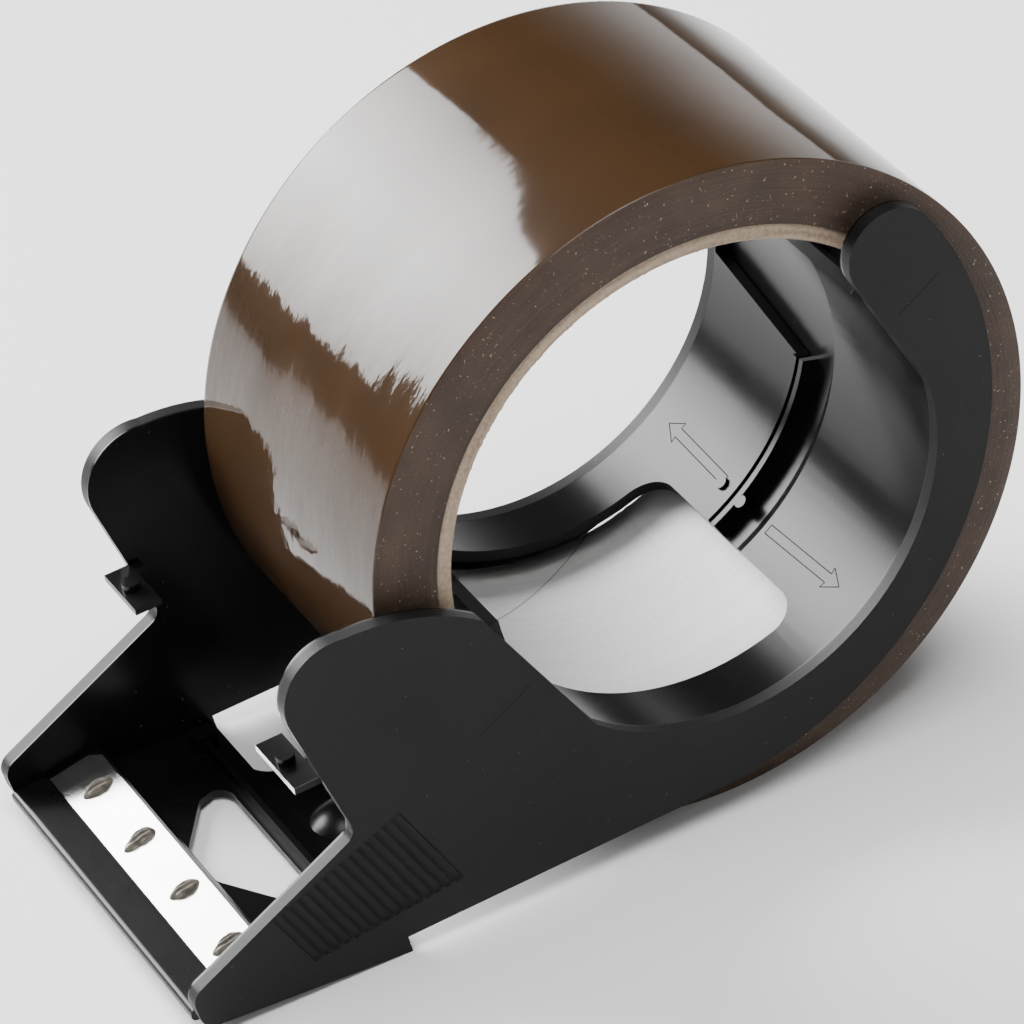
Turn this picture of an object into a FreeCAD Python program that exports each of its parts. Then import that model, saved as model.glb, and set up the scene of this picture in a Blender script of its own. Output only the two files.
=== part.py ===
import FreeCAD, Part
import math
import os

# Hand-held packing tape dispenser. Millimetres, +Z up, tape axis along Y,
# cutting nose towards -X. Shapes are drawn in the body's own frame, with the
# hub axis at the origin, then set down on the roll and on its heel or nose tip, at Z = 0.

# roll of tape
roll_outer_r = 49.8
roll_width = 49.6
roll_shift_y = -1.5          # the loaded roll sits a little to the left
core_inner_r = 38.0
core_wall = 2.5
core_inset = 0.3

# the two handed halves
side_clear = 3.6             # half the roll's width to the cheek's inner face
cheek_t = 2.2
wall_t = 1.7                 # hub wall
hub_clearance = 0.7          # hub to the core's bore
tongue_gap = 0.3             # left half's tongue runs outside the right wall
joggle_y = -4.0              # where the left wall steps outwards
joggle_len = 3.0
seam_y = 4.0
seam_gap = 0.6
seam_bead = 0.5
seam_rib_w = 0.9
seam_top_deg = -16.5
hub_start_deg = -176.0
left_end_deg = 44.0
right_end_deg = -9.0
right_slope_deg = 8.0        # the right wall's top edge runs back by this much
window_half = 20.0
window_rear_deg = -64.3
window_front_deg = -150.0
window_corner_r = 5.0

# cheek outline
arm_r = 50.3
arm_cx = -7.4
arm_bottom_z = -44.5
end_lobe_r = 6.6
end_lobe_deg = 31.0
lobe_x = -57.8
lobe_z = -0.6
lobe_r = 8.2
lobe_back_x = -45.2
lobe_back_z = 5.4
corner_x = -36.6
corner_z = 0.5
notch_x = -59.6
notch_z = -23.9
notch_r = 2.2
heel_x = -55.1
heel_step = 2.7
nose_tip_x = -87.0
nose_top_z = -37.9
nose_low_z = -43.9
nose_tip_r = 2.6
nose_tip_lean = 0.9

# grip ribs, tabs
rib_count = 15
rib_depth = 0.42
rib_cutter_r = 0.8
rib_edge_gap = 0.85          # from the nose's top edge to the first groove's end
rib_first_x = -72.9
rib_last_x = -53.6
rib_last_z = -24.2
rib_first_len = 10.2
rib_last_len = 16.0
rib_lean_deg = -64.5
tab_front_x = -66.2
tab_left_len = 11.0
tab_right_len = 9.4
tab_depth_x = 4.0
tab_t = 1.0
tab_z = -13.8
tab_neck_x = 1.4             # neck that roots the tab on the cheek
tab_neck_y = 1.6
peg_r = 1.3
peg_h = 1.2
peg_edge = 0.5               # peg to the tab's front edge
stop_peg_r = 0.95
stop_peg_h = 0.5

# nose carrier, blade
nose_clearance = 0.1         # carrier end to cheek
floor_t = 1.3
floor_rear_x = -55.6
floor_lift = 0.15
window_x0 = -72.0
window_x1 = -60.6
window_y = 14.2
rail_x = -58.9
rail_w = 0.9
rail_h = 1.6
blade_x0 = -81.2
blade_w = 7.9
blade_z = -41.75
blade_slope_deg = 10.0
blade_end_gap = 1.0          # strip's end to the carrier's end
blade_t = 0.5
blade_ground = 0.35          # width of the ground cutting edge
lip_len = 5.5
lip_t = 2.0
lip_nose_r = 0.8
lip_gap = 0.15
thumb_len = 10.6             # tongue behind the floor
thumb_half = 13.0
dome_r = 4.6
dome_h = 1.7
dome_back = 5.2              # from the floor's rear edge to the dome's middle
stake_count = 4
stake_pitch = 13.55
stake_along = 4.6
stake_hole_r = 1.0
stake_gap = 0.05
stake_dome_h = 0.9
stake_len = 1.9

# derived
cheek_in = roll_width / 2.0 + side_clear
half_width = cheek_in + cheek_t
hub_inner_r = core_inner_r - hub_clearance - tongue_gap - 2.0 * wall_t
hub_outer_r = hub_inner_r + wall_t
tongue_in_r = hub_outer_r + tongue_gap
tongue_out_r = tongue_in_r + wall_t
arm_cz = arm_bottom_z + arm_r
heel_z = arm_bottom_z - heel_step
nose_low_x = nose_tip_x + nose_tip_lean
carrier_half = cheek_in - nose_clearance
blade_half = carrier_half - blade_end_gap
stake_y = [(i - (stake_count - 1) / 2.0) * stake_pitch for i in range(stake_count)]

V = FreeCAD.Vector


def P(x, z, y=0.0):
    return V(x, y, z)


def rad(a):
    return math.radians(a)


def polar(r, deg, cx=0.0, cz=0.0):
    return P(cx + r * math.cos(rad(deg)), cz + r * math.sin(rad(deg)))


def arc3(a, m, b):
    return Part.Arc(a, m, b).toShape()


def line(a, b):
    return Part.makeLine(a, b)


def cyl_y(r, y0, y1, x=0.0, z=0.0):
    return Part.makeCylinder(r, y1 - y0, V(x, y0, z), V(0, 1, 0))


def box(x0, x1, y0, y1, z0, z1):
    return Part.makeBox(x1 - x0, y1 - y0, z1 - z0, V(x0, y0, z0))


def slab(points, y0, y1):
    pts = [V(x, y0, z) for x, z in points]
    face = Part.Face(Part.makePolygon(pts + [pts[0]]))
    return face.extrude(V(0, y1 - y0, 0))


def round_corner(prev, at, nxt, r):
    """Two tangent points and the middle of a fillet arc in the XZ plane."""
    u = (prev - at).normalize()
    w = (nxt - at).normalize()
    half = u.getAngle(w) / 2.0
    d = r / math.tan(half)
    mid_dir = (u + w).normalize()
    centre = at + mid_dir * (r / math.sin(half))
    return at + u * d, centre - mid_dir * r, at + w * d


def sector(r, y0, y1, a0, a1):
    """Wedge between two angles, for trimming the hub walls."""
    n = max(2, int(abs(a1 - a0) / 20.0) + 1)
    pts = [(0.0, 0.0)]
    for i in range(n + 1):
        a = rad(a0 + (a1 - a0) * i / n)
        pts.append((r * math.cos(a), r * math.sin(a)))
    return slab(pts, y0, y1)


def cheek_wire():
    """Outline of one cheek plate, drawn once round."""
    c = (arm_cx, arm_cz)
    k = arm_r - end_lobe_r
    ex = c[0] + k * math.cos(rad(end_lobe_deg))
    ez = c[1] + k * math.sin(rad(end_lobe_deg))
    out_end = polar(arm_r, end_lobe_deg, *c)
    lobe_top = polar(end_lobe_r, 110.0, ex, ez)
    hub_hi = polar(hub_inner_r, 9.0)
    hub_lo = polar(hub_inner_r, -133.0)
    far = V(hub_hi.x - ex, 0, hub_hi.z - ez)
    tang = math.degrees(math.atan2(far.z, far.x) - math.acos(end_lobe_r / far.Length))
    lobe_in = polar(end_lobe_r, tang, ex, ez)
    bottom = P(arm_cx, arm_bottom_z)
    edges = [arc3(bottom, polar(arm_r, (end_lobe_deg - 90.0) / 2.0, *c), out_end)]
    edges.append(arc3(out_end, lobe_top, lobe_in))
    edges.append(line(lobe_in, hub_hi))
    edges.append(arc3(hub_hi, polar(hub_inner_r, -62.0), hub_lo))
    corner = P(corner_x, corner_z)
    edges.append(line(hub_lo, corner))
    # front lobe: shallow arc, round shoulder, straight front edge
    crown = polar(lobe_r, 78.0, lobe_x, lobe_z)
    edges.append(arc3(corner, P(lobe_back_x, lobe_back_z), crown))
    front = polar(lobe_r, 196.0, lobe_x, lobe_z)
    edges.append(arc3(crown, polar(lobe_r, 137.0, lobe_x, lobe_z), front))
    notch = P(notch_x, notch_z)
    tip_top = P(nose_tip_x, nose_top_z)
    a, m, b = round_corner(front, notch, tip_top, notch_r)
    edges.append(line(front, a))
    edges.append(arc3(a, m, b))
    tip_low = P(nose_low_x, nose_low_z)
    heel = P(heel_x, heel_z)
    a2, m2, b2 = round_corner(b, tip_top, tip_low, nose_tip_r)
    edges.append(line(b, a2))
    edges.append(arc3(a2, m2, b2))
    a3, m3, b3 = round_corner(b2, tip_low, heel, nose_tip_r)
    edges.append(line(b2, a3))
    edges.append(arc3(a3, m3, b3))
    step_top = P(heel_x - 0.3, arm_bottom_z)
    edges.append(line(b3, heel))
    edges.append(line(heel, step_top))
    edges.append(line(step_top, bottom))
    return Part.Wire(edges)


def cheek_plate():
    """Flat plate on the -Y side."""
    plate = Part.Face(cheek_wire()).extrude(V(0, cheek_t, 0))
    plate.translate(V(0, -half_width, 0))
    return plate


def grip_grooves():
    """Slanted half-round finger grooves across the nose, cut from the outer face."""
    slope = (nose_top_z - notch_z) / (nose_tip_x - notch_x)
    first_z = notch_z + (rib_first_x - notch_x) * slope - rib_edge_gap
    d = polar(1.0, rib_lean_deg)
    face_y = -half_width + rib_depth - rib_cutter_r
    tools = []
    for i in range(rib_count):
        f = i / (rib_count - 1.0)
        x0 = rib_first_x + f * (rib_last_x - rib_first_x)
        z0 = first_z + f * (rib_last_z - first_z)
        length = rib_first_len + f * (rib_last_len - rib_first_len)
        a = V(x0, face_y, z0)
        rod = Part.makeCylinder(rib_cutter_r, length, a, d)
        ends = [Part.makeSphere(rib_cutter_r, a), Part.makeSphere(rib_cutter_r, a + d * length)]
        tools.append(rod.fuse(ends).removeSplitter())
    return tools


def grooved_cheek():
    plate = cheek_plate()
    for tool in grip_grooves():
        plate = plate.cut(tool)
    return plate


def tab_with_peg(length):
    """Small shelf in the notch with an upright round peg."""
    y0 = -cheek_in - 0.4
    x1 = tab_front_x + tab_depth_x
    shelf = box(tab_front_x, x1, y0, -cheek_in + length, tab_z - tab_t, tab_z)
    neck = box(x1 - 0.5, x1 + tab_neck_x, y0, y0 + tab_neck_y, tab_z - tab_t, tab_z)
    px = tab_front_x + peg_r + peg_edge
    py = -cheek_in + length / 2.0
    peg = Part.makeCylinder(peg_r, peg_h + 0.2, V(px, py, tab_z - 0.2))
    return [shelf, neck, peg]


def ring(r0, r1, y0, y1, a0, a1):
    tube = cyl_y(r1, y0, y1).cut(cyl_y(r0, y0 - 1.0, y1 + 1.0))
    return tube.common(sector(r1 * 1.3, y0 - 0.5, y1 + 0.5, a0, a1))


def window_cutter(y0, y1):
    """Through-cutter for the big hub window, corners rounded on the rear side."""
    r = hub_inner_r
    a0 = window_front_deg
    a1 = window_rear_deg
    body = sector(r * 1.4, y0, y1, a0, a1)
    ring_w = math.degrees(window_corner_r / r)
    out = body
    for sy, yc in ((1.0, y1), (-1.0, y0)):
        for sa, ac in ((1.0, a1), (-1.0, a0)):
            if abs(yc) < window_half - 0.01:
                continue
            am = ac - sa * ring_w
            ym = yc - sy * window_corner_r
            lo_y, hi_y = min(ym, yc), max(ym, yc)
            sq = sector(r * 1.4, lo_y, hi_y, min(am, ac), max(am, ac))
            d = polar(1.0, am)
            rod = Part.makeCylinder(window_corner_r, r * 1.5, V(0, ym, 0), V(d.x, 0, d.z))
            out = out.cut(sq.cut(rod))
    return out


def stop_peg(deg, y, foot_r):
    d = polar(1.0, deg)
    top = hub_inner_r - stop_peg_h
    return Part.makeCylinder(stop_peg_r, foot_r - top, V(d.x * top, y, d.z * top), V(d.x, 0, d.z))


def left_hub():
    """Wall rooted on the left cheek; it steps out into a tongue past the middle."""
    full = (hub_start_deg, left_end_deg)
    main = ring(hub_inner_r, hub_outer_r, -cheek_in - 0.4, joggle_y, *full)
    prof = [(hub_inner_r, joggle_y - 0.01), (hub_outer_r, joggle_y - 0.01)]
    prof += [(tongue_out_r, joggle_y + joggle_len), (tongue_in_r, joggle_y + joggle_len)]
    pts = [V(r, y, 0) for r, y in prof]
    cone = Part.Face(Part.makePolygon(pts + [pts[0]])).revolve(V(0, 0, 0), V(0, 1, 0), 360)
    cone = cone.common(sector(60.0, joggle_y - 1.0, joggle_y + joggle_len + 1.0, *full))
    y1 = joggle_y + joggle_len - 0.01
    tongue = ring(tongue_in_r, tongue_out_r, y1, cheek_in - 0.4, *full)
    rib_y1 = seam_y - seam_gap / 3.0
    rib_r = hub_inner_r - seam_bead
    rib = ring(rib_r, tongue_in_r + 0.3, rib_y1 - seam_rib_w, rib_y1, hub_start_deg, seam_top_deg)
    wall = main.fuse([cone, tongue, rib])
    wall = wall.cut(window_cutter(-window_half, half_width + 5.0))
    wall = wall.cut(window_cutter(-window_half, window_half))
    return wall.fuse(stop_peg(-55.6, rib_y1 - seam_rib_w - 0.5, tongue_in_r + 0.5))


def top_edge_cutter(y0, y1):
    """Block above the right wall's top edge, which falls away towards the seam."""
    low = polar(hub_inner_r, right_end_deg - right_slope_deg)
    high = polar(hub_inner_r, right_end_deg)
    a = V(high.x, y1, high.z)
    b = V(low.x, y0, low.z)
    out = polar(1.0, right_end_deg - right_slope_deg / 2.0)
    along = (a - b).normalize()
    up = along.cross(out).normalize()
    if up.z < 0:
        up = up * -1.0
    pts = [a + along * 5 + out * 15, a + along * 5 - out * 15]
    pts += [b - along * 5 - out * 15, b - along * 5 + out * 15]
    return Part.Face(Part.makePolygon(pts + [pts[0]])).extrude(up * 14.0)


def right_hub():
    """Wall rooted on the right cheek, ending at the seam with a raised bead."""
    y0 = seam_y + seam_gap
    y1 = cheek_in + 0.4
    wall = ring(hub_inner_r, hub_outer_r, y0, y1, hub_start_deg, right_end_deg)
    bead_r = hub_inner_r - seam_bead
    bead = ring(bead_r, hub_inner_r + 0.3, y0, y0 + seam_rib_w, hub_start_deg, right_end_deg)
    wall = wall.fuse(bead)
    wall = wall.cut(top_edge_cutter(y0, y1))
    wall = wall.cut(window_cutter(-half_width, window_half))
    return wall.fuse(stop_peg(-55.4, y0 + 3.4, hub_inner_r + 0.5))


def left_half():
    plate = grooved_cheek()
    return plate.fuse([left_hub()] + tab_with_peg(tab_left_len)).removeSplitter()


def right_half():
    plate = grooved_cheek().fuse(tab_with_peg(tab_right_len))
    plate = plate.mirror(V(0, 0, 0), V(0, 1, 0))
    return plate.fuse(right_hub()).removeSplitter()


def blade_line(u):
    """Point on the blade's upper face, u measured back from its cutting edge."""
    s = rad(blade_slope_deg)
    return blade_x0 + u * math.cos(s), blade_z + u * math.sin(s)


def under_line(x):
    """Height of the nose's underside at x."""
    f = (x - heel_x) / (nose_tip_x - heel_x)
    return heel_z + floor_lift + f * (nose_low_z - heel_z)


def lens(x0, x1, hw, z0, z1):
    """Floor window: straight rear edge, front edge bowed forwards."""
    c = 3.4
    pts = [V(x1, -hw + c, z0), V(x1, hw - c, z0)]
    e = [line(pts[0], pts[1])]
    a = V(x1 - 2.2, hw, z0)
    e.append(arc3(pts[1], V(x1 - 0.5, hw - 1.0, z0), a))
    b = V(x1 - 4.6, hw - 1.0, z0)
    e.append(line(a, b))
    f = V(x0 + 1.2, 5.0, z0)
    g = V(x0 + 1.2, -5.0, z0)
    e.append(line(b, f))
    e.append(arc3(f, V(x0, 0, z0), g))
    h = V(x1 - 4.6, -hw + 1.0, z0)
    e.append(line(g, h))
    k = V(x1 - 2.2, -hw, z0)
    e.append(line(h, k))
    e.append(arc3(k, V(x1 - 0.5, -hw + 1.0, z0), pts[0]))
    return Part.Face(Part.Wire(e)).extrude(V(0, 0, z1 - z0))


def carrier_profile():
    """Section along the middle: lip, blade seat, floor; drawn from the lip's nose back."""
    seat1 = blade_line(blade_w + 0.6)
    dz = blade_t / math.cos(rad(blade_slope_deg))
    step_x = blade_x0 - lip_gap
    tip_x = step_x - lip_len
    top = blade_z
    low = top - lip_t
    r = lip_nose_r
    seat_z = top - dz - lip_gap * math.tan(rad(blade_slope_deg))
    e = [line(P(step_x, top), P(tip_x + r, top))]
    e.append(arc3(P(tip_x + r, top), P(tip_x + r * 0.293, top - r * 0.293), P(tip_x, top - r)))
    e.append(line(P(tip_x, top - r), P(tip_x, low + r)))
    e.append(arc3(P(tip_x, low + r), P(tip_x + r * 0.293, low + r * 0.293), P(tip_x + r, low)))
    pts = [(tip_x + r, low), (window_x0 - 4.0, under_line(window_x0 - 4.0))]
    pts += [(floor_rear_x, under_line(floor_rear_x)), (floor_rear_x, under_line(floor_rear_x) + floor_t)]
    pts += [(window_x0 - 0.4, under_line(window_x0) + floor_t)]
    pts += [(seat1[0] + 0.8, seat1[1] - dz - 1.2), (seat1[0], seat1[1] - dz)]
    pts += [(step_x, seat_z), (step_x, top)]
    for a, b in zip(pts, pts[1:]):
        e.append(line(P(*a), P(*b)))
    return Part.Face(Part.Wire(e))


def thumb_tongue():
    """Thin tongue behind the floor with a low round dome in its middle."""
    z = under_line(floor_rear_x)
    x = floor_rear_x
    tip = x + thumb_len
    c = 4.0
    e = [line(V(x, -thumb_half - 2.6, z), V(x, thumb_half + 2.6, z))]
    for sy in (1.0, -1.0):
        a = V(x, sy * (thumb_half + 2.6), z)
        m = V(x + 1.3, sy * (thumb_half + 0.9), z)
        b = V(x + 3.2, sy * thumb_half, z)
        g = V(tip - c, sy * thumb_half, z)
        k = V(tip - c * 0.293, sy * (thumb_half - c * 0.293), z)
        h = V(tip, sy * (thumb_half - c), z)
        side = [arc3(a, m, b), line(b, g), arc3(g, k, h)]
        if sy < 0:
            e.append(line(V(tip, thumb_half - c, z), h))
            side = [arc3(h, k, g), line(g, b), arc3(b, m, a)]
        e += side
    plate = Part.Face(Part.Wire(e)).extrude(V(0, 0, floor_t))
    ball_r = (dome_r * dome_r + dome_h * dome_h) / (2.0 * dome_h)
    cx = x + dome_back
    top = z + floor_t
    ball = Part.makeSphere(ball_r, V(cx, roll_shift_y, top + dome_h - ball_r))
    y0 = roll_shift_y - ball_r
    y1 = roll_shift_y + ball_r
    cap = ball.common(box(cx - ball_r, cx + ball_r, y0, y1, top - 0.4, top + ball_r))
    return [plate, cap]


def floor_rail():
    """Low rail across the floor with a hook at each end."""
    h = carrier_half
    z = under_line(rail_x) + floor_t
    out = [box(rail_x - rail_w / 2, rail_x + rail_w / 2, -h + 2.4, h - 2.4, z - 0.5, z + rail_h)]
    for sy in (-1.0, 1.0):
        ya = sy * (h - 2.6)
        yb = sy * (h - 5.4)
        out.append(box(rail_x - 1.6, rail_x + 1.6, min(ya, yb), max(ya, yb), z - 0.5, z + rail_h + 0.8))
    return out


def nose_carrier():
    """Lip, blade seat and floor between the cheeks, one moulding."""
    h = carrier_half
    body = carrier_profile()
    body.translate(V(0, -h, 0))
    body = body.extrude(V(0, 2.0 * h, 0))
    body = body.cut(lens(window_x0, window_x1, window_y, heel_z - 2.0, arm_bottom_z + 6.0))
    body = body.fuse(floor_rail() + thumb_tongue())
    bx, bz = blade_line(stake_along)
    d = P(-math.sin(rad(blade_slope_deg)), math.cos(rad(blade_slope_deg)))
    for y in stake_y:
        foot = V(bx, y, bz) - d * (blade_t + stake_len)
        body = body.cut(Part.makeCylinder(stake_hole_r, stake_len + 2.0, foot, d))
    return body.removeSplitter()


def cutting_blade():
    """Flat spring-steel strip, ground to an edge along its front."""
    c = 1.5
    h = blade_half
    g = blade_ground
    pts = [(g, -h), (blade_w - c, -h), (blade_w, -h + c), (blade_w, h - c), (blade_w - c, h), (g, h)]
    face = Part.Face(Part.makePolygon([V(u, v, 0) for u, v in pts + [pts[0]]]))
    strip = face.extrude(V(0, 0, -blade_t))
    edge = [V(g + 0.01, -h, 0), V(0, -h, 0), V(g + 0.01, -h, -blade_t)]
    edge = Part.Face(Part.makePolygon(edge + [edge[0]])).extrude(V(0, 2.0 * h, 0))
    strip = strip.fuse(edge)
    for v in stake_y:
        hole = Part.makeCylinder(stake_hole_r + stake_gap, blade_t + 2.0, V(stake_along, v, -blade_t - 1.0))
        strip = strip.cut(hole)
    return on_blade(strip.removeSplitter())


def on_blade(shape):
    shape.rotate(V(0, 0, 0), V(0, 1, 0), -blade_slope_deg)
    shape.translate(V(blade_x0, 0, blade_z))
    return shape


def blade_stakes():
    """Four posts melted over into oval heads that clamp the strip."""
    solids = []
    for v in stake_y:
        foot = V(stake_along, v, -blade_t - stake_len + 0.1)
        post = Part.makeCylinder(stake_hole_r - stake_gap, blade_t + stake_len, foot)
        head = Part.makeSphere(2.0, V(0, 0, 0))
        m = FreeCAD.Matrix()
        m.scale(1.0, 0.72, stake_dome_h / 2.0)
        head = head.transformGeometry(m)
        head = head.common(Part.makeBox(8, 8, 4, V(-4, -4, 0)))
        head.translate(V(stake_along, v, 0.01))
        solids.append(on_blade(post.fuse(head).removeSplitter()))
    return Part.makeCompound(solids)


def tape_core():
    y0 = roll_shift_y - roll_width / 2.0 + core_inset
    y1 = roll_shift_y + roll_width / 2.0 - core_inset
    tube = cyl_y(core_inner_r + core_wall, y0, y1)
    return tube.cut(cyl_y(core_inner_r, y0 - 1.0, y1 + 1.0))


def tape_winding():
    y0 = roll_shift_y - roll_width / 2.0
    y1 = roll_shift_y + roll_width / 2.0
    tube = cyl_y(roll_outer_r, y0, y1)
    return tube.cut(cyl_y(core_inner_r + core_wall, y0 - 1.0, y1 + 1.0))


def touch_tilt(x, z):
    """Tip, in degrees, at which a low point of the body reaches the table under the roll."""
    return math.degrees(math.atan2(-x, -z) - math.acos(roll_outer_r / math.hypot(x, z)))


rest_tilt = min(touch_tilt(heel_x, heel_z), touch_tilt(nose_low_x, nose_low_z))


def set_down(shape):
    """Tip the body until its heel or nose tip is down, and lift it so the roll touches Z = 0."""
    shape.rotate(V(0, 0, 0), V(0, 1, 0), -rest_tilt)
    shape.translate(V(0, 0, roll_outer_r))
    return shape


def build():
    os.makedirs("parts", exist_ok=True)
    nodes = {
        "left_half": left_half(),
        "right_half": right_half(),
        "nose_carrier": nose_carrier(),
        "cutting_blade": cutting_blade(),
        "blade_stakes": blade_stakes(),
        "tape_core": tape_core(),
        "tape_winding": tape_winding(),
    }
    placed = {name: set_down(shape) for name, shape in nodes.items()}
    # the origin lies under the middle of the whole object
    front_x = min(shape.BoundBox.XMin for shape in placed.values())
    middle_x = (front_x + roll_outer_r) / 2.0
    for name, shape in placed.items():
        shape.translate(V(-middle_x, 0, 0))
        if len(shape.Solids) == 1:
            shape = shape.Solids[0]
        shape.exportStep("parts/" + name + ".step")
        b = shape.BoundBox
        print(name, len(shape.Solids), shape.isValid(), round(shape.Volume, 1),
              [round(v, 2) for v in (b.XMin, b.YMin, b.ZMin, b.XMax, b.YMax, b.ZMax)])
    print("rest tilt", round(rest_tilt, 4), "roll axis x", round(-middle_x, 4))


build()
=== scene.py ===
import math
import random

import bmesh
import bpy
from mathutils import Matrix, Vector


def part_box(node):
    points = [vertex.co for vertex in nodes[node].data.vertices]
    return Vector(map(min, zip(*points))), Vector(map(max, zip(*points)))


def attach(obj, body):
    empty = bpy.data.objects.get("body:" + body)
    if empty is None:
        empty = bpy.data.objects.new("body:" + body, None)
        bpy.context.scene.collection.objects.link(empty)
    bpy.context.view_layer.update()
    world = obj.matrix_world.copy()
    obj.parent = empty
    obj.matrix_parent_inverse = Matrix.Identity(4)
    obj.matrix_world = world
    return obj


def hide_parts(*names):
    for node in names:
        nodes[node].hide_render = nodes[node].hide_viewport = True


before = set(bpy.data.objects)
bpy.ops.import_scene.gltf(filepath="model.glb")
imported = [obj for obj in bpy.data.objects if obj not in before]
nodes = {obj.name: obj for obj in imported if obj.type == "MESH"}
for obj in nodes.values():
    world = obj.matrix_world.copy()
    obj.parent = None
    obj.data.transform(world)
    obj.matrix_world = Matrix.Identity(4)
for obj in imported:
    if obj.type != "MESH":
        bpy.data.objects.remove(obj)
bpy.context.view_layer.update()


# ---------------------------------------------------------------- the two halves
# Two handed mouldings in black plastic, each a cheek plate with half of the hub wall.
# Their cheeks have a fine eroded grain outside, and they pull apart along the engraved
# arrows in the hub to let a roll on.
MM = 0.001
TIP = math.radians(2.7617)
roll_lo, roll_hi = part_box("tape_winding")
axis_x = (roll_lo.x + roll_hi.x) / 2
axis_z = (roll_lo.z + roll_hi.z) / 2


def place(x, y, z):
    """A point in mm from the hub's axis, before the body is tipped onto its heel, in metres."""
    c, s = math.cos(TIP), math.sin(TIP)
    return Vector(((x * c - z * s) * MM + axis_x, y * MM, (x * s + z * c) * MM + axis_z))


def show(name, data, body=None):
    ob = bpy.data.objects.new(name, data)
    bpy.context.scene.collection.objects.link(ob)
    if body:
        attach(ob, body)
    return ob


def piece(name, verts, faces, mat, body=None, smooth=True):
    me = bpy.data.meshes.new(name)
    me.from_pydata([tuple(v) for v in verts], [], faces)
    me.update()
    me.materials.append(mat)
    for p in me.polygons:
        p.use_smooth = smooth
    return show(name, me, body)


def new_mat(name):
    m = bpy.data.materials.new(name)
    m.use_nodes = True
    t = m.node_tree
    t.nodes.clear()
    out = t.nodes.new("ShaderNodeOutputMaterial")
    b = t.nodes.new("ShaderNodeBsdfPrincipled")
    t.links.new(b.outputs[0], out.inputs[0])
    return m, t, b


def node(t, kind, links=None, **values):
    """A shader node; values name its settings or, with _ for a space, its inputs."""
    n = t.nodes.new(kind)
    for k, v in values.items():
        if hasattr(n, k):
            setattr(n, k, v)
        else:
            n.inputs[k.replace("_", " ")].default_value = v
    for k, src in (links or {}).items():
        t.links.new(src, n.inputs[k])
    return n


def ramp(t, src, stops):
    n = t.nodes.new("ShaderNodeValToRGB")
    while len(n.color_ramp.elements) < len(stops):
        n.color_ramp.elements.new(0.5)
    for e, (p, c) in zip(n.color_ramp.elements, stops):
        e.position = p
        e.color = (c[0], c[1], c[2], 1.0)
    t.links.new(src, n.inputs[0])
    return n.outputs[0]


def grain(t, coord, scale, **kw):
    """Noise, with scale in grains per metre where coord is in metres."""
    return node(t, "ShaderNodeTexNoise", {"Vector": coord}, Scale=scale, **kw).outputs[0]


def spread(t, src, **ends):
    return node(t, "ShaderNodeMapRange", {"Value": src}, **ends).outputs[0]


def sums(t, operation, *terms):
    """A sum on other nodes' outputs and plain numbers."""
    n = node(t, "ShaderNodeMath", operation=operation)
    for i, term in enumerate(terms):
        if isinstance(term, (int, float)):
            n.inputs[i].default_value = term
        else:
            t.links.new(term, n.inputs[i])
    return n.outputs[0]


def laid_over(t, under, mask, colour):
    n = node(t, "ShaderNodeMix", {0: mask, 6: under}, data_type="RGBA")
    n.inputs[7].default_value = (*colour, 1)
    return n.outputs[2]


def bumped(t, b, height, strength, depth):
    n = node(t, "ShaderNodeBump", {"Height": height}, Strength=strength, Distance=depth)
    t.links.new(n.outputs[0], b.inputs["Normal"])
    return n.outputs[0]


SKIN_FROM, SKIN_FULL = 0.0286, 0.0289
BLOTCHES, POLISH_MARKS, DUST, EROSION = 60.0, 90.0, 2100.0, 3300.0
DUST_GREY = (0.09, 0.088, 0.085)
INNER_EROSION = 0.12


def moulded(name, colour, rough_skin, rough_inner, sheen, erosion_deep):
    """Moulded plastic: eroded grain on the cheeks' outer faces, smoother inside, a little dust."""
    m, t, b = new_mat(name)
    at = node(t, "ShaderNodeTexCoord").outputs["Object"]
    across = node(t, "ShaderNodeSeparateXYZ", {0: at}).outputs[1]
    skin = spread(t, sums(t, "ABSOLUTE", across), From_Min=SKIN_FROM, From_Max=SKIN_FULL)
    pale, deep = [c * 1.3 for c in colour], [c * 0.75 for c in colour]
    plain = ramp(t, grain(t, at, BLOTCHES, Detail=3.0), [(0.3, deep), (0.7, pale)])
    specks = ramp(t, grain(t, at, DUST, Detail=1.5), [(0.775, (0, 0, 0)), (0.8, (1, 1, 1))])
    t.links.new(laid_over(t, plain, specks, DUST_GREY), b.inputs["Base Color"])
    marks = grain(t, at, POLISH_MARKS, Detail=4.0)
    polish = spread(t, marks, To_Min=rough_inner - 0.04, To_Max=rough_inner + 0.06)
    rough = node(t, "ShaderNodeMix", {0: skin, 2: polish}, data_type="FLOAT")
    rough.inputs[3].default_value = rough_skin
    t.links.new(rough.outputs[0], b.inputs["Roughness"])
    depth = spread(t, skin, To_Min=INNER_EROSION, To_Max=1.0)
    pits = grain(t, at, EROSION, Detail=2.0)
    bumped(t, b, sums(t, "MULTIPLY", pits, depth), 0.6, erosion_deep)
    b.inputs["Specular IOR Level"].default_value = sheen
    return m


EDGE_ROUND = 0.00045
FLAT_WITHIN, ROUNDED_OVER, CREASED_OVER = math.radians(1.0), math.radians(84), math.radians(40)


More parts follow.
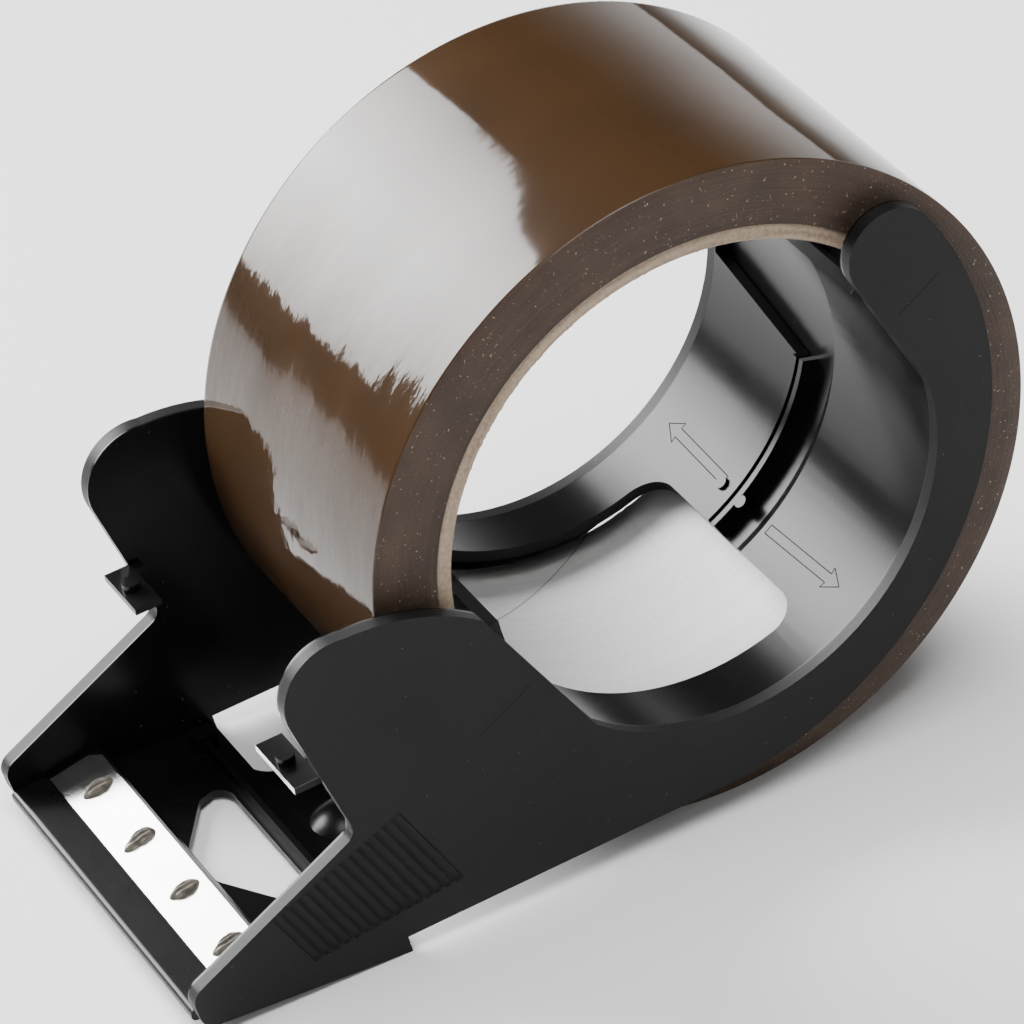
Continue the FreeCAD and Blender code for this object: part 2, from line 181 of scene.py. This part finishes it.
def eased(ob, mat):
    """A CAD node with its sharp edges eased the way a mould leaves them."""
    ob.data.materials.clear()
    ob.data.materials.append(mat)
    flats = ob.modifiers.new("merge_flats", "DECIMATE")
    flats.decimate_type = "DISSOLVE"
    flats.angle_limit = FLAT_WITHIN
    ease = ob.modifiers.new("eased_edges", "BEVEL")
    ease.width = EDGE_ROUND
    ease.segments = 3
    ease.limit_method = "ANGLE"
    ease.angle_limit = ROUNDED_OVER
    crisp = ob.modifiers.new("crisp_creases", "EDGE_SPLIT")
    crisp.split_angle = CREASED_OVER
    flat = ob.modifiers.new("flat_faces", "WEIGHTED_NORMAL")
    flat.keep_sharp = True
    for p in ob.data.polygons:
        p.use_smooth = True


half_black = moulded("satin_black", (0.0038, 0.0038, 0.0041), 0.48, 0.21, 0.19, 0.00006)
eased(nodes["left_half"], half_black)
eased(nodes["right_half"], half_black)


# Strip for the engraved arrows and the parting lines. Its colour is painted shade: it is darker than the
# plastic around it, for the shade in the groove. It is also rougher and less shiny.
def scribed_shade():
    m, t, b = new_mat("scribed_line_painted_shade")
    at = node(t, "ShaderNodeTexCoord").outputs["Object"]
    # painted shade: the line is coloured darker than the black plastic it is cut into
    painted_groove_shade = ramp(t, grain(t, at, 400.0), [(0.3, (0.001,) * 3), (0.7, (0.004,) * 3)])
    t.links.new(painted_groove_shade, b.inputs["Base Color"])
    b.inputs["Roughness"].default_value = 0.7
    b.inputs["Specular IOR Level"].default_value = 0.15
    return m


scribe_shade = scribed_shade()
LINE_PROUD, LINE_DEEP = 0.015, 0.03
ARROW_LINE, PARTING_LINE = 0.17, 0.13


def hairline(name, points, outs, width, body):
    """Fine line let into a surface: points in mm with the surface's outward direction at each."""
    verts, faces = [], []
    for k in range(len(points) - 1):
        a, b = Vector(points[k]), Vector(points[k + 1])
        for q, out in ((a, Vector(outs[k])), (b, Vector(outs[k + 1]))):
            half = out.cross(b - a).normalized() * width / 2
            for way, lift in ((1, LINE_PROUD), (-1, LINE_PROUD), (-1, -LINE_DEEP), (1, -LINE_DEEP)):
                verts.append(place(*(q + half * way + out * lift)))
        i = k * 8
        faces += [(i + j, i + (j + 1) % 4, i + 4 + (j + 1) % 4, i + 4 + j) for j in range(4)]
        faces += [(i + 3, i + 2, i + 1, i), (i + 4, i + 5, i + 6, i + 7)]
    return piece(name, verts, faces, scribe_shade, body, False)


HUB_R = 33.6


def hub_line(name, corners, body):
    """Closed outline on the hub's inside, corners given as (degrees, y), a step to each degree."""
    pts, outs = [], []
    loop = corners + corners[:1]
    for (a0, y0), (a1, y1) in zip(loop, loop[1:]):
        steps = int(abs(a1 - a0)) + 1
        for k in range(steps):
            a, y = math.radians(a0 + (a1 - a0) * k / steps), y0 + (y1 - y0) * k / steps
            pts.append((HUB_R * math.cos(a), y, HUB_R * math.sin(a)))
            outs.append((-math.cos(a), 0, -math.sin(a)))
    return hairline(name, pts + pts[:1], outs + outs[:1], ARROW_LINE, body)


ARROW_HEAD, BARB, NECK_SHARE = 2.7, 0.2, 0.17
SHAFT_HALF, HEAD_HALF = 0.75, 1.7


def arrow(name, tip, tail, body):
    """Outline arrow along the hub: tip and tail are (degrees, y)."""
    mm = math.degrees(1.0 / HUB_R)
    way = 1.0 if tip[1] > tail[1] else -1.0
    neck = (tip[0] + (tail[0] - tip[0]) * NECK_SHARE, tip[1] - way * ARROW_HEAD)
    shaft, wide = SHAFT_HALF * mm, HEAD_HALF * mm
    barb = neck[1] - way * BARB
    pts = [(tail[0] - shaft, tail[1]), (neck[0] - shaft, neck[1]), (neck[0] - wide, barb), tip]
    pts += [(neck[0] + wide, barb), (neck[0] + shaft, neck[1]), (tail[0] + shaft, tail[1])]
    return hub_line(name, pts, body)


arrow("left_arrow", (-54.5, -22.9), (-55.9, -5.0), "left")
arrow("right_arrow", (-53.5, 24.3), (-54.5, 7.9), "right")

CHEEK_Y = 30.6
TOP_LINE = [(36.8, 22.2), (30.0, 18.4)]
LOW_LINE = [(-31.5, -13.0), (-33.3, -14.1), (-40.1, -17.5)]


def cheek_line(name, corners, side, body):
    """Parting line of a mould insert, on a cheek's outer face; side is -1 left, 1 right."""
    pts = [(x, side * CHEEK_Y, z) for x, z in corners]
    return hairline(name, pts, [(0, side, 0)] * len(pts), PARTING_LINE, body)


for side, body in ((-1, "left"), (1, "right")):
    cheek_line(body + "_top_line", TOP_LINE, side, body)
    cheek_line(body + "_low_line", LOW_LINE, side, body)


# ---------------------------------------------------------------- nose carrier
# Black moulding between the cheeks: lip, blade seat, windowed floor, rail and thumb tongue.
# It is smoother than the cheeks and closes the nose underneath.
eased(nodes["nose_carrier"], moulded("nose_black", (0.0025, 0.0025, 0.0028), 0.3, 0.27, 0.21, 0.00004))


# ---------------------------------------------------------------- blade
# Bright rolled spring-steel strip, sheared to length and ground along its front edge.
# It lies on the seat behind the lip and is held by the four melted heads.
ROLLING_MARKS = (4000.0, 60.0, 400.0)


def stretched(t, coord, scale):
    return node(t, "ShaderNodeMapping", {"Vector": coord}, Scale=scale).outputs[0]


def steel():
    m, t, b = new_mat("bright_steel")
    at = node(t, "ShaderNodeTexCoord").outputs["Object"]
    streaks = grain(t, stretched(t, at, ROLLING_MARKS), 1.0, Detail=4.0)
    t.links.new(spread(t, streaks, To_Min=0.18, To_Max=0.27), b.inputs["Roughness"])
    b.inputs["Metallic"].default_value = 1.0
    stain = grain(t, at, 260.0, Detail=3.0)
    bright = ramp(t, stain, [(0.3, (0.80, 0.785, 0.76)), (0.6, (0.9, 0.895, 0.885))])
    t.links.new(bright, b.inputs["Base Color"])
    bumped(t, b, streaks, 0.1, 0.00003)
    return m


blade = nodes["cutting_blade"]
blade.data.materials.clear()
blade.data.materials.append(steel())


# ---------------------------------------------------------------- melted heads
# Posts of the carrier that come up through the strip and are melted over by hand.
# Each head is a ribbed grey-brown blob, drawn out into a tail towards the cutting edge.
def melted():
    m, t, b = new_mat("melted_head")
    at = node(t, "ShaderNodeTexCoord").outputs["Object"]
    char = grain(t, at, 900.0, Detail=3.0)
    tint = ramp(t, char, [(0.3, (0.045, 0.039, 0.031)), (0.7, (0.17, 0.15, 0.122))])
    t.links.new(tint, b.inputs["Base Color"])
    b.inputs["Roughness"].default_value = 0.3
    bumped(t, b, char, 0.5, 0.0001)
    return m


BLADE_X, BLADE_Z, BLADE_SLOPE = -81.2, -41.75, math.radians(10.0)


def on_blade(u, y, h):
    """A point on the strip in mm: back from its low corner, along it, and up off its face."""
    c, s = math.cos(BLADE_SLOPE), math.sin(BLADE_SLOPE)
    return place(BLADE_X + u * c - h * s, y, BLADE_Z + u * s + h * c)


# y, tail length and tail lean of each head
HEADS = ((-20.3, 1.0, 0.1), (-6.8, 0.55, -0.05), (6.8, 1.25, 0.22), (20.3, 0.8, 0.12))
HEAD_U, HEAD_LONG, HEAD_WIDE, HEAD_HIGH = 4.7, 2.1, 1.32, 0.92
TAIL_WIDE, EDGE_WAVER = 0.3, 0.07
RIDGE_HIGH, RIDGE_TURN, RIDGE_SWAY = 0.24, 8.5, 0.7
AROUND, RINGS = 64, 14
SUNK = 0.02
random.seed(7)


def melted_heads():
    verts, faces = [], []
    for y0, tail, lean in HEADS:
        first = len(verts)
        phase = random.uniform(0, 6.28)
        for k in range(RINGS + 1):
            s = k / RINGS
            for i in range(AROUND):
                a = 2 * math.pi * i / AROUND
                edge = 1.0 / math.hypot(math.cos(a) / HEAD_LONG, math.sin(a) / HEAD_WIDE)
                off = abs((a - math.pi - lean + math.pi) % (2 * math.pi) - math.pi)
                edge += tail * math.exp(-(off / TAIL_WIDE) ** 2) + EDGE_WAVER * math.sin(5 * a + phase)
                u, v = edge * s * math.cos(a), edge * s * math.sin(a)
                ridge = math.cos(v * RIDGE_TURN + RIDGE_SWAY * math.sin(u * 1.9 + phase))
                crest = RIDGE_HIGH * (1 - s) ** 0.35 * ridge
                h = HEAD_HIGH * max(0.0, 1 - s ** 2.6) ** 0.6 + crest * (1 - s ** 4)
                verts.append(on_blade(HEAD_U + u, y0 + v, h - SUNK))
        for k in range(RINGS):
            for i in range(AROUND):
                a, b = first + k * AROUND + i, first + k * AROUND + (i + 1) % AROUND
                faces.append((a, a + AROUND, b + AROUND, b))
        faces.append(tuple(first + RINGS * AROUND + i for i in reversed(range(AROUND))))
    return piece("melted_heads", verts, faces, melted(), "nose")


heads = melted_heads()
weld = bmesh.new()
weld.from_mesh(heads.data)
bmesh.ops.remove_doubles(weld, verts=weld.verts, dist=1e-6)
weld.to_mesh(heads.data)
weld.free()
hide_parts("blade_stakes")


# ---------------------------------------------------------------- paper core
# Spiral-wound grey-brown paperboard with a light smooth liner inside.
# The cut ends are fibrous; the roll turns on it over the hub.
PLIES = (7.0, 60.0, 1.0)
FIBRES = 1500.0


def card(name, light, dark, rough, sheen, fibre_deep):
    m, t, b = new_mat(name)
    at = node(t, "ShaderNodeTexCoord")
    plies = grain(t, stretched(t, at.outputs["UV"], PLIES), 1.0, Detail=4.0)
    fibres = grain(t, at.outputs["Object"], FIBRES, Detail=5.0, Roughness=0.7)
    pulp = sums(t, "MULTIPLY", sums(t, "ADD", plies, fibres), 0.5)
    colour = ramp(t, pulp, [(0.36, dark), (0.62, light)])
    t.links.new(colour, b.inputs["Base Color"])
    b.inputs["Roughness"].default_value = rough
    b.inputs["Specular IOR Level"].default_value = sheen
    bumped(t, b, pulp, 0.8, fibre_deep)
    return m, t, b, colour


SEAM_TURNS, SEAM_AT, SEAM_HALF = 3.0, 0.38, 0.003
SEAM_GREY = (0.33, 0.315, 0.30)


def liner_paper():
    """Liner strip with its spiral butt seam showing as a hairline."""
    m, t, b, colour = card("core_liner", (0.68, 0.675, 0.67), (0.60, 0.595, 0.59), 0.55, 0.4, 0.00006)
    at = node(t, "ShaderNodeSeparateXYZ", {0: node(t, "ShaderNodeTexCoord").outputs["UV"]})
    spiral = sums(t, "ADD", sums(t, "MULTIPLY", at.outputs[0], SEAM_TURNS), at.outputs[1])
    seam = sums(t, "COMPARE", sums(t, "FRACT", spiral), SEAM_AT, SEAM_HALF)
    t.links.new(laid_over(t, colour, seam, SEAM_GREY), b.inputs["Base Color"])
    return m


UV_PER_MM = 0.02


def revolved(name, profile, mats, jitter=None, steps=360):
    """Closed ring about the roll's axis. profile lists (radius, y, material index) in mm."""
    verts, faces = [], []
    k = len(profile)
    for i in range(steps):
        a = 2 * math.pi * i / steps
        for j, (r, y, _) in enumerate(profile):
            dr = jitter(a, j) if jitter else 0.0
            verts.append(place((r + dr) * math.cos(a), y, (r + dr) * math.sin(a)))
    for i in range(steps):
        here, there = i * k, ((i + 1) % steps) * k
        faces += [(here + j, there + j, there + (j + 1) % k, here + (j + 1) % k) for j in range(k)]
    me = bpy.data.meshes.new(name)
    me.from_pydata([tuple(v) for v in verts], [], faces)
    for m in mats:
        me.materials.append(m)
    uv = me.uv_layers.new(name="UVMap")
    run = [0.0]
    for j in range(1, k + 1):
        p, q = profile[j - 1], profile[j % k]
        run.append(run[-1] + math.hypot(p[0] - q[0], p[1] - q[1]) * UV_PER_MM)
    for f, p in enumerate(me.polygons):
        i, j = divmod(f, k)
        p.material_index = profile[j][2]
        p.use_smooth = True
        corners = ((i, run[j]), (i + 1, run[j]), (i + 1, run[j + 1]), (i, run[j + 1]))
        for loop, (u, v) in zip(p.loop_indices, corners):
            uv.data[loop].uv = (u / steps, v)
    me.update()
    return show(name, me, "roll")


ROLL_Y = -1.5
HALF_W = 24.8
R_OUT, R_CORE, R_BORE = 49.8, 40.5, 38.0
CORE_HALF = HALF_W - 0.3
CORE_CUT_IN, CORE_CUT_OUT = 38.35, 40.1
CORE_SKIN = R_CORE - 0.02
CORE_STEPS = 720
END_CARD, LINER = 0, 1

core_prof = [
    (R_BORE, -CORE_HALF + 0.4, END_CARD), (CORE_CUT_IN, -CORE_HALF, END_CARD),
    (39.2, -CORE_HALF - 0.06, END_CARD), (CORE_CUT_OUT, -CORE_HALF, END_CARD),
    (CORE_SKIN, -CORE_HALF + 0.2, END_CARD), (CORE_SKIN, CORE_HALF - 0.2, END_CARD),
    (CORE_CUT_OUT, CORE_HALF, END_CARD), (CORE_CUT_IN, CORE_HALF, END_CARD),
    (R_BORE, CORE_HALF - 0.4, LINER), (R_BORE, 8, LINER), (R_BORE, -8, LINER),
]
core_prof = [(r, y + ROLL_Y, m) for r, y, m in core_prof]
fray = [random.gauss(0, 0.07) for _ in range(CORE_STEPS)]
FRAYED_RINGS = (1, 2, 7)


def frayed(a, j):
    i = int(round(a * CORE_STEPS / (2 * math.pi))) % CORE_STEPS
    return fray[i] if j in FRAYED_RINGS else 0.0


end_card = card("core_edge", (0.46, 0.355, 0.265), (0.21, 0.155, 0.11), 0.8, 0.2, 0.0003)[0]
core = revolved("paper_core", core_prof, [end_card, liner_paper()], frayed, CORE_STEPS)
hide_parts("tape_core")


# ---------------------------------------------------------------- wound tape
# Brown polypropylene film wound tight on the core, glossy outside and slightly rippled.
# The slit edges make a dull side with fine rings, nicks and dust stuck to the gum.
SLACK_BANDS, SMALL_RIPPLES = (13.0, 3.0, 1.0), (34.0, 11.0, 1.0)
TIGHT, SLACK = (0.12,) * 3, (1, 1, 1)


def film():
    m, t, b = new_mat("brown_film")
    at = node(t, "ShaderNodeTexCoord").outputs["UV"]
    slow = grain(t, stretched(t, at, SLACK_BANDS), 1.0, Detail=1.0)
    small = grain(t, stretched(t, at, SMALL_RIPPLES), 1.0, Detail=4.0, Roughness=0.5)
    brown = ramp(t, slow, [(0.3, (0.024, 0.0115, 0.0042)), (0.7, (0.033, 0.0162, 0.006))])
    t.links.new(brown, b.inputs["Base Color"])
    b.inputs["Roughness"].default_value = 0.06
    b.inputs["Specular IOR Level"].default_value = 0.28
    b.inputs["Coat Weight"].default_value = 0.07
    b.inputs["Coat Roughness"].default_value = 0.5
    turn = node(t, "ShaderNodeSeparateXYZ", {0: at}).outputs[0]
    slack = ramp(t, turn, [(0.33, TIGHT), (0.41, SLACK), (0.6, SLACK), (0.7, TIGHT)])
    waves = sums(t, "ADD", sums(t, "MULTIPLY", small, 0.2), slow)
    bump = bumped(t, b, sums(t, "MULTIPLY", waves, slack), 1.0, 0.00055)
    t.links.new(bump, b.inputs["Coat Normal"])
    return m


WOUND_RINGS = (5.0, 120.0, 1.0)
GUM_DUST, GUM_PATCHES = 2300.0, 150.0


def winding_side():
    m, t, b = new_mat("wound_edges")
    at = node(t, "ShaderNodeTexCoord")
    rings = grain(t, stretched(t, at.outputs["UV"], WOUND_RINGS), 1.0, Detail=6.0, Roughness=0.7)
    dust = grain(t, at.outputs["Object"], GUM_DUST, Detail=2.0)
    patches = grain(t, at.outputs["Object"], GUM_PATCHES, Detail=4.0)
    edges = ramp(t, rings, [(0.25, (0.037, 0.0225, 0.0145)), (0.75, (0.07, 0.044, 0.029))])
    shade = ramp(t, patches, [(0.35, (0.8, 0.8, 0.8)), (0.7, (1.15, 1.12, 1.1))])
    gum = node(t, "ShaderNodeMix", {6: edges, 7: shade}, data_type="RGBA", blend_type="MULTIPLY")
    gum.inputs[0].default_value = 1.0
    specks = ramp(t, dust, [(0.69, (0, 0, 0)), (0.75, (1, 1, 1))])
    t.links.new(laid_over(t, gum.outputs[2], specks, (0.34, 0.28, 0.22)), b.inputs["Base Color"])
    b.inputs["Roughness"].default_value = 0.6
    b.inputs["Specular IOR Level"].default_value = 0.3
    bumped(t, b, sums(t, "ADD", rings, dust), 0.7, 0.0002)
    return m


# The side wanders in and out by a few hundredths where the winding shifted.
FILM, SIDE = 0, 1
tape_prof = [
    (R_CORE, -HALF_W, SIDE), (42.5, -HALF_W - 0.05, SIDE), (45.0, -HALF_W + 0.04, SIDE),
    (47.5, -HALF_W, SIDE), (R_OUT - 0.15, -HALF_W + 0.02, SIDE),
    (R_OUT - 0.02, -HALF_W + 0.14, FILM), (R_OUT, -HALF_W + 0.5, FILM), (R_OUT, -8.0, FILM),
    (R_OUT, 8.0, FILM), (R_OUT, HALF_W - 0.5, FILM), (R_OUT - 0.02, HALF_W - 0.14, FILM),
    (R_OUT - 0.15, HALF_W - 0.02, SIDE), (47.5, HALF_W, SIDE), (45.0, HALF_W - 0.05, SIDE),
    (42.5, HALF_W, SIDE), (R_CORE, HALF_W, SIDE),
]
tape_prof = [(r, y + ROLL_Y, m) for r, y, m in tape_prof]
tape = revolved("tape_roll", tape_prof, [film(), winding_side()])
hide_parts("tape_winding")


# ---------------------------------------------------------------- room, light, camera
# A plain pale floor, one large softbox low behind the object, a wide light overhead and a
# weak fill in front. The walls glow towards +x, which puts a soft haze on glossy film.
FLOOR_HALF = 4
FLOOR_GREY = (0.8, 0.8, 0.8, 1)

floor_mat, _, floor_b = new_mat("pale_floor")
floor_b.inputs["Base Color"].default_value = FLOOR_GREY
floor_b.inputs["Roughness"].default_value = 0.8
corners = [(x * FLOOR_HALF, y * FLOOR_HALF, 0) for x, y in ((-1, -1), (1, -1), (1, 1), (-1, 1))]
floor = piece("floor", corners, [(0, 1, 2, 3)], floor_mat, smooth=False)

world = bpy.data.worlds.new("room")
bpy.context.scene.world = world
world.use_nodes = True
walls = world.node_tree
sky = node(walls, "ShaderNodeTexCoord").outputs["Generated"]
facing = node(walls, "ShaderNodeSeparateXYZ", {0: sky})
side_glow = spread(walls, facing.outputs[0], interpolation_type="SMOOTHSTEP", From_Min=0.05, From_Max=0.7)
low_glow = spread(walls, facing.outputs[2], interpolation_type="SMOOTHSTEP", From_Min=0.5, From_Max=-0.05)
level = spread(walls, sums(walls, "MULTIPLY", side_glow, low_glow), To_Min=0.05, To_Max=1.8)
background = walls.nodes["Background"]
walls.links.new(level, background.inputs[1])
background.inputs[0].default_value = (1, 1, 1, 1)

OBJECT_MIDDLE = Vector((0.0, 0.0, 0.045))


def area(name, loc, sx, sy, power, spread_deg=180.0):
    """A rectangular light of sx by sy metres, facing the object."""
    li = bpy.data.lights.new(name, "AREA")
    li.spread = math.radians(spread_deg)
    li.shape = "RECTANGLE"
    li.size, li.size_y = sx, sy
    li.energy = power
    ob = show(name, li)
    ob.location = loc
    ob.rotation_euler = (OBJECT_MIDDLE - Vector(loc)).normalized().to_track_quat("-Z", "Y").to_euler()
    return ob


area("back_softbox", (-0.33, 0.80, 0.475), 0.74, 0.66, 8.6, 72.0)
area("overhead", (0.08, -0.12, 1.0), 0.7, 0.7, 15.0)
area("front_fill", (-1.2, -1.0, 0.7), 0.9, 0.9, 8.0)

cam_data = bpy.data.cameras.new("camera")
cam_data.lens = 209.8
cam_data.sensor_width = 36.0
cam_data.clip_start = 0.01
cam = show("camera", cam_data)
cam.location = (-0.27477, -0.59786, 0.51573)
cam.rotation_euler = [math.radians(v) for v in (53.89, 5.697, -28.924)]
bpy.context.scene.camera = cam
